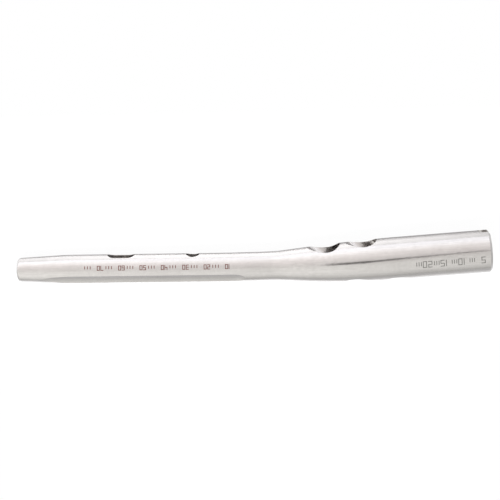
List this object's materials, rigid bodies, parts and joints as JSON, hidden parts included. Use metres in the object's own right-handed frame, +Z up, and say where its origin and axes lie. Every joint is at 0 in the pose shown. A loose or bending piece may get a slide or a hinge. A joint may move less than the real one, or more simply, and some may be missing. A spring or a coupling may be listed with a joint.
{
  "type": "intramedullary nail",
  "caption": "Short cannulated steel nail for the upper thigh bone, bent between a slim fluted shaft and a thick head, with oblique screw holes, a locking slot and a locking hole.",
  "frame": {"origin": "middle of the footprint of the nail as it lies at rest, on the surface it lies on", "axes": "+X along the shaft from the slim tip to the thick head, +Z up from the surface, which is nearly the nail's posterior side, +Y nearly the lateral side that the head bends towards"},
  "size_m": [0.1804, 0.019, 0.0166],
  "materials": {
    "brushed_implant_steel": "satin, brushed along the nail, with laser-marked ticks and numerals"
  },
  "bodies": {
    "root": {"nail_body": "brushed_implant_steel"}
  },
  "joints": []
}
